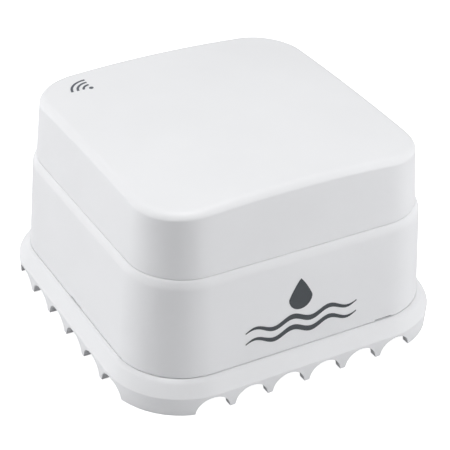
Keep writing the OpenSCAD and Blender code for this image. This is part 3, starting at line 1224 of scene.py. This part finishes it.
@dataclass
class Marks:
    """Printed marks: the wireless pictogram on the cap, and a water drop over waves on the front."""

    film: float = 0.03 * MM
    dot_at: tuple[float, float] = (-17.15 * MM, 19.4 * MM)
    dot: float = 0.42 * MM
    arcs: tuple[float, ...] = (1.4 * MM, 2.5 * MM, 3.6 * MM)
    line: float = 0.45 * MM
    span: tuple[float, float] = (86.0, 174.0)
    drop_at: tuple[float, float] = (-0.6 * MM, 16.6 * MM)
    drop: float = 2.35 * MM
    drop_point: tuple[float, float] = (0.35, 0.62)
    waves_from: float = -11.6 * MM
    waves_to: float = 11 * MM
    wave_levels: tuple[float, ...] = (12.5 * MM, 10.3 * MM)
    wave_line: float = 1.05 * MM
    swell: float = 0.62 * MM
    swells: int = 3

    def band(self, radius: float, width: float, start: float, end: float) -> Piece:
        """Make a flat band along an arc.

        Args:
            radius: radius of its middle line.
            width: its width.
            start: angle in degrees where it starts.
            end: angle where it ends.

        Returns:
            The band, flat at the origin.
        """
        clear_bench()
        bpy.ops.mesh.primitive_circle_add(vertices=90, radius=radius + width / 2, fill_type="NGON")
        band = bpy.context.object
        with shaping(band):
            bpy.ops.mesh.select_all(action="SELECT")
            bpy.ops.mesh.inset(thickness=width)

            def outside(face: bmesh.types.BMFace) -> bool:
                """Say whether a face is the disc in the middle or past the band's ends."""
                x, y, _ = face.calc_center_median()
                return len(face.verts) > 4 or not start < math.degrees(math.atan2(y, x)) % 360 < end

            select(band, Kind.FACE, outside)
            bpy.ops.mesh.delete(type="FACE")
        return band

    def disc(self, radius: float) -> Piece:
        """Make a flat disc of faces fine enough to follow a curved surface.

        Args:
            radius: its radius.

        Returns:
            The disc, flat at the origin.
        """
        clear_bench()
        bpy.ops.mesh.primitive_circle_add(vertices=32, radius=radius, fill_type="NGON")
        disc = bpy.context.object
        with shaping(disc):
            bpy.ops.mesh.select_all(action="SELECT")
            bpy.ops.mesh.inset(thickness=radius / 2)
        return disc

    def lay_on(self, mark: Piece, casing: Piece, axis: str) -> None:
        """Lay a flat mark on a casing along an axis and give it the thickness of a print.

        Args:
            mark: the flat mark, outside the casing.
            casing: the casing it is printed on.
            axis: x, y or z.
        """
        wrap = mark.modifiers.new("wrap", "SHRINKWRAP")
        wrap.target = casing
        wrap.wrap_method = "PROJECT"
        for way in "xyz":
            setattr(wrap, f"use_project_{way}", way == axis)
        wrap.use_negative_direction = True
        wrap.use_positive_direction = True
        wrap.offset = self.film / 3
        finish_modifier(mark, wrap)
        film = mark.modifiers.new("film", "SOLIDIFY")
        film.thickness = self.film
        film.offset = 1
        finish_modifier(mark, film)
        smooth(mark)

    def wireless(self, cap: Piece) -> Piece:
        """Print the wireless pictogram on the cap.

        Args:
            cap: the cap.

        Returns:
            The mark.
        """
        parts = [self.band(radius, self.line, *self.span) for radius in self.arcs]
        parts.append(self.disc(self.dot))
        mark = join("wireless_mark", parts)
        swing(mark, Matrix.Identity(3), (*self.dot_at, cad_box[1].z + 1 * MM))
        self.lay_on(mark, cap, "z")
        dress(mark, WIRELESS_INK)
        fit(mark, "cap", "casing_white")
        return mark

    def drop_outline(self) -> Piece:
        """Make the drop: a disc whose upper half is drawn out to a point.

        Returns:
            The drop, flat at the origin.
        """
        narrow, stretch = self.drop_point
        drop = self.disc(self.drop)
        for vertex in drop.data.vertices:
            height = vertex.co.y / self.drop
            if height > 0:
                vertex.co.x *= (1 - height) ** narrow
                vertex.co.y *= 1 + stretch * height
        return drop

    def wave(self, level: float) -> Piece:
        """Make one wavy stroke, thin at its ends.

        Args:
            level: its height.

        Returns:
            The stroke, flat at the origin.
        """
        clear_bench()
        length = self.waves_to - self.waves_from
        bpy.ops.mesh.primitive_plane_add(size=1)
        stroke = bpy.context.object
        with shaping(stroke):
            select(stroke, Kind.EDGE, lambda edge: abs(run(edge).x) > ALONG)
            bpy.ops.mesh.subdivide(number_cuts=63)
        for vertex in stroke.data.vertices:
            place = vertex.co.x + 0.5
            weight = self.wave_line * math.sin(math.pi * min(max(place, 0.02), 0.98)) ** 0.5
            bend = self.swell * math.sin(self.swells * math.tau * place)
            vertex.co.y = level + weight * vertex.co.y + bend
            vertex.co.x = self.waves_from + length * place
        return stroke

    def water_sign(self, housing: Piece) -> Piece:
        """Print the water drop over its waves on the front of the housing.

        Args:
            housing: the housing.

        Returns:
            The mark.
        """
        drop = self.drop_outline()
        swing(drop, Matrix.Identity(3), (*self.drop_at, 0))
        mark = join("water_mark", [drop, *(self.wave(level) for level in self.wave_levels)])
        swing(mark, Matrix.Rotation(math.radians(90), 3, "X"), (0, cad_box[0].y - 1 * MM, 0))
        self.lay_on(mark, housing, "y")
        dress(mark, MARK_INK)
        fit(mark, "case", "casing_white")
        return mark


# ---- power ----


@dataclass
class Cells:
    """Two AAA cells with sleeves, crimps and nubs, and the coil springs behind them."""

    radius: float = 5.25 * MM
    nub: float = 1.9 * MM
    nub_length: float = 1.2 * MM
    crimp: float = 4.4 * MM
    wire: float = 0.28 * MM
    coil: float = 3.0 * MM
    coils: float = 4.0
    taper: tuple[float, float] = (0.15 * MM, -0.7 * MM)

    def cell(self, node: str, side: int) -> Piece:
        """Build one cell.

        Args:
            node: the frame node it stands for.
            side: 1 with the nub towards +X, -1 towards -X.

        Returns:
            The cell.
        """
        low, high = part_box(node)
        _, y, z = centre(node)
        length = high.x - low.x
        body = length - self.nub_length
        r = self.radius
        piece = turned(f"{node}_body", 0, 0, (
            (3.3 * MM, 0.15 * MM), (3.6 * MM, 0.05 * MM + 0.15 * MM), (3.75 * MM, 0), (4.35 * MM, 0),
            (4.45 * MM, 0.22 * MM), (4.75 * MM, 0.22 * MM), (5.1 * MM, 0.32 * MM), (r, 0.62 * MM),
            (r, body - 0.75 * MM), (5.12 * MM, body - 0.3 * MM), (4.75 * MM, body - 0.06 * MM),
            (4.3 * MM, body), (4.15 * MM, body - 0.02 * MM), (4.1 * MM, body - 0.3 * MM),
            (3.1 * MM, body - 0.35 * MM), (2.5 * MM, body - 0.1 * MM), (2.1 * MM, body),
            (self.nub, body + 0.15 * MM), (self.nub, length - 0.25 * MM),
            (self.nub - 0.08 * MM, length - 0.08 * MM), (self.nub - 0.3 * MM, length),
        ), 64)
        flat_end, nub_end = (low.x, high.x) if side > 0 else (high.x, low.x)
        swing(piece, Matrix.Rotation(math.radians(90 * side), 3, "Y"), (flat_end, y, z))
        smooth(piece, 30)
        dress(piece, Sleeve(f"{node}_sleeve", flat_end, nub_end), NICKEL)
        second_finish(piece, lambda face: math.hypot(face.center.y - y, face.center.z - z) < self.crimp)
        fit(piece, "case", "cell_wrap", node)
        return piece

    def spring(self, side: int, place: float) -> Piece:
        """Wind one conical spring from its wall to its cell.

        Args:
            side: the cell's side, 1 or -1.
            place: the cell's place along Y.

        Returns:
            The spring.
        """
        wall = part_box("battery_springs")[1].x
        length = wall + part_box("rear_cell")[0].x - 2 * self.wire
        clear_bench()
        bpy.ops.mesh.primitive_circle_add(vertices=10, radius=self.wire, fill_type="NGON",
                                          location=(self.coil, 0, 0), rotation=(math.radians(90), 0, 0))
        coil = settle(bpy.context.object, "coil")
        winding = coil.modifiers.new("winding", "SCREW")
        winding.axis = "Z"
        winding.angle = math.tau * self.coils
        winding.screw_offset = length
        winding.steps = winding.render_steps = int(36 * self.coils)
        winding.use_merge_vertices = True
        finish_modifier(coil, winding)
        wide, narrow = self.taper
        for vertex in coil.data.vertices:
            share = min(max(vertex.co.z / length, 0), 1)
            taper = Vector((vertex.co.x, vertex.co.y, 0)).normalized() * (wide + (narrow - wide) * share)
            vertex.co += taper + Vector((0, 0, self.wire))
        turn = Matrix.Rotation(math.radians(90 * side), 3, "Y")
        return swing(coil, turn, (-side * wall, place, centre("rear_cell")[2]))

    def springs(self) -> Piece:
        """Build both springs as one piece.

        Returns:
            The springs.
        """
        parts = [self.spring(1, centre("rear_cell")[1]), self.spring(-1, centre("front_cell")[1])]
        piece = join("coil_springs", parts)
        with shaping(piece):
            bpy.ops.mesh.select_all(action="SELECT")
            bpy.ops.mesh.fill_holes(sides=0)
            bpy.ops.mesh.normals_make_consistent(inside=False)
        smooth(piece, 60)
        dress(piece, STEEL)
        fit(piece, "case", "contact_nickel", "battery_springs")
        return piece

    def build(self) -> None:
        """Build the cells and the springs."""
        self.cell("rear_cell", 1)
        self.cell("front_cell", -1)
        self.springs()


# ---- pieces that keep the frame's shape ----


@dataclass(frozen=True)
class Traced:
    """A piece that keeps a frame node's shape, with rounded edges and its own finish."""

    node: str
    name: str
    finish: Finish
    slot: str
    body: str = "case"
    edge: float = 0.08 * MM

    def build(self) -> Piece:
        """Build the piece.

        Returns:
            The finished piece.
        """
        piece = traced(self.node, self.name, self.edge)
        dress(piece, self.finish)
        fit(piece, self.body, self.slot, self.node)
        return piece


TRACED = (
    *(Traced(node, f"{node}_plate", NICKEL, "contact_nickel")
      for node in ("bridge_contact", "positive_contact", "negative_contact")),
    Traced("battery_tray", "battery_tray_deck", TRAY, "tray_white", edge=0.1 * MM),
    Traced("base_seal", "base_gasket", SEAL, "seal_grey"),
    Traced("cap_seal", "cap_gasket", SEAL, "seal_grey"),
    Traced("case_screws", "long_screws", STEEL, "screw_steel"),
    Traced("main_board", "board_panel", GREEN_BOARD, "board_green", edge=0.05 * MM),
    Traced("board_screws", "short_screws", STEEL, "screw_steel"),
    Traced("radio_module", "radio_board", BLUE_BOARD, "board_blue", edge=0.04 * MM),
    Traced("radio_shield", "shield_can", TIN, "shield_tin", edge=0.25 * MM),
    Traced("controller_chip", "controller", CHIP_RESIN, "chip_black", edge=0.04 * MM),
    Traced("board_parts", "small_parts", CHIP_RESIN, "chip_black", edge=0.06 * MM),
    Traced("capacitor", "capacitor_can", ALUMINIUM, "can_aluminium", edge=0.3 * MM),
    Traced("buzzer", "buzzer_case", DARK_PLASTIC, "buzzer_black", edge=0.25 * MM),
    Traced("status_led", "status_lamp", LED_RESIN, "led_white"),
    Traced("light_pipe", "light_rod", CLEAR, "light_pipe_clear", edge=0.15 * MM),
    Traced("tact_switch", "switch_case", DARK_PLASTIC, "switch_black"),
    Traced("switch_plunger", "plunger", DARK_PLASTIC, "switch_black", body="button"),
    Traced("pairing_button", "pair_button", BUTTON, "button_grey", body="button", edge=0.12 * MM),
    Traced("probe_pins", "probes", STAINLESS, "probe_steel", edge=0.15 * MM),
    Traced("probe_orings", "probe_rings", ORING, "oring_black", edge=0.01 * MM),
    Traced("probe_nuts", "probe_nut_pair", BRASS, "nut_brass", edge=0.12 * MM),
    Traced("cell_pad", "foam_strip", PAD, "pad_foam", body="cap", edge=0.3 * MM),
    Traced("rating_label", "base_label", LABEL, "label_silver", edge=0.02 * MM),
)


# ---- studio ----


@dataclass
class Studio:
    """The pale floor, the soft lights and the camera."""

    azimuth: float = -29.99
    elevation: float = 32.68
    roll: float = 1.72
    distance: float = 290.98 * MM
    target: tuple[float, float, float] = (-0.17 * MM, -1.83 * MM, 15.4 * MM)
    lens: float = 124.9
    floor_size: float = 3.0
    floor_colour: Colour = (0.66, 0.66, 0.67)
    floor_glow: tuple[float, float] = (0.07, 0.95)      # as lit surfaces see it, and as the camera does
    sky: float = 0.03
    sky_colour: Colour = (0.985, 0.98, 1.0)
    reflected_sky: float = 0.3
    backdrop: float = 1.1
    aim: float = 20 * MM
    mirrored: str = "overhead"
    softboxes: tuple[tuple[str, tuple[float, float, float], float, float, float], ...] = (
        ("overhead", (0.0, 0.06, 1.0), 1.2, 0.35, 7.7),
        ("left", (-1.0, 0.35, 0.05), 0.55, 0.3, 0.6),
        ("left_high", (-1.0, 0.0, 0.5), 0.6, 0.4, 0.37),
        ("left_rear", (-0.85, 0.55, 0.5), 0.8, 0.3, 2.95),
        ("right_front", (0.7, -0.75, 0.5), 0.6, 0.4, 2.5),
    )

    def frame_axes(self) -> tuple[Vector, Vector, Vector]:
        """Work out how the camera is held.

        Returns:
            Its right, up and backward axes.
        """
        turn, lift, roll = (math.radians(angle) for angle in (self.azimuth, self.elevation, self.roll))
        back = Vector((math.sin(turn) * math.cos(lift), -math.cos(turn) * math.cos(lift), math.sin(lift)))
        level = Vector((math.cos(turn), math.sin(turn), 0))
        raised = back.cross(level)
        right = level * math.cos(roll) + raised * math.sin(roll)
        return right, back.cross(right), back

    def camera(self) -> None:
        """Set the camera."""
        right, up, back = self.frame_axes()
        data = bpy.data.cameras.new("camera")
        data.lens = self.lens
        camera = bpy.data.objects.new("camera", data)
        turn = Matrix((right, up, back)).transposed().to_4x4()
        camera.matrix_world = Matrix.Translation(Vector(self.target) + back * self.distance) @ turn
        bpy.context.scene.collection.objects.link(camera)
        bpy.context.scene.camera = camera

    def floor(self) -> None:
        """Lay the pale floor: washed out to white from above, clear from below."""
        clear_bench()
        bpy.ops.mesh.primitive_plane_add(size=self.floor_size, location=(0, 0, 0))
        floor = settle(bpy.context.object, "studio_floor")
        shade = Shade("studio_floor", self.floor_colour, 0.9)
        shade.surface.inputs["Emission Color"].default_value = (1, 1, 1, 1)
        seen = shade.node("ShaderNodeLightPath").outputs["Is Camera Ray"]
        glow = shade.remap(seen, *self.floor_glow, 0.0, 1.0)
        shade.link(glow, shade.surface.inputs["Emission Strength"])
        sheet = shade.node("ShaderNodeMixShader")
        shade.link(shade.node("ShaderNodeNewGeometry").outputs["Backfacing"], sheet.inputs["Fac"])
        shade.link(shade.surface.outputs["BSDF"], sheet.inputs[1])
        shade.link(shade.node("ShaderNodeBsdfTransparent").outputs["BSDF"], sheet.inputs[2])
        shade.link(sheet.outputs["Shader"], shade.tree.nodes["Material Output"].inputs["Surface"])
        floor.data.materials.append(shade.material)

    def softbox(self, name: str, way: Sequence[float], distance: float, size: float, power: float,
                glint: bool) -> None:
        """Hang one softbox that looks at the object.

        Args:
            name: its name.
            way: direction from the object.
            distance: how far away.
            size: its width.
            power: its power in watts.
            glint: whether glossy surfaces mirror it.
        """
        light = bpy.data.lights.new(name, "AREA")
        light.shape = "SQUARE"
        light.size = size
        light.energy = power
        lamp = bpy.data.objects.new(name, light)
        heading = Vector(way).normalized()
        lamp.location = heading * distance + Vector((0, 0, self.aim))
        lamp.rotation_euler = heading.to_track_quat("Z", "Y").to_euler()
        lamp.visible_glossy = glint
        bpy.context.scene.collection.objects.link(lamp)

    def sky_dome(self) -> None:
        """Set the dim sky, which looks white where it is seen and pale where it is mirrored."""
        world = bpy.data.worlds.new("studio")
        world.use_nodes = True
        nodes, links = world.node_tree.nodes, world.node_tree.links
        path = nodes.new("ShaderNodeLightPath")
        brightness = None
        for ray, value in (("Is Glossy Ray", self.reflected_sky), ("Is Camera Ray", self.backdrop)):
            choice = nodes.new("ShaderNodeMapRange")
            choice.inputs["To Min"].default_value = self.sky
            choice.inputs["To Max"].default_value = value
            links.new(path.outputs[ray], choice.inputs["Value"])
            if brightness:
                links.new(brightness, choice.inputs["To Min"])
            brightness = choice.outputs["Result"]
        links.new(brightness, nodes["Background"].inputs["Strength"])
        nodes["Background"].inputs["Color"].default_value = (*self.sky_colour, 1)
        bpy.context.scene.world = world

    def build(self) -> None:
        """Build the studio."""
        self.camera()
        self.floor()
        self.sky_dome()
        for name, way, distance, size, power in self.softboxes:
            self.softbox(name, way, distance, size, power, glint=name == self.mirrored)
        view = bpy.context.scene.view_settings
        view.view_transform, view.look = "Standard", "None"


def main() -> None:
    """Build the sensor piece by piece in its studio."""
    logging.basicConfig(level=logging.INFO, format="%(message)s")
    Studio().build()
    BaseTray().build()
    housing = Housing().build()
    cap = TopCap().build()
    marks = Marks()
    marks.wireless(cap)
    marks.water_sign(housing)
    Cells().build()
    for piece in TRACED:
        piece.build()
    clear_bench()


if __name__ == "__main__":
    main()
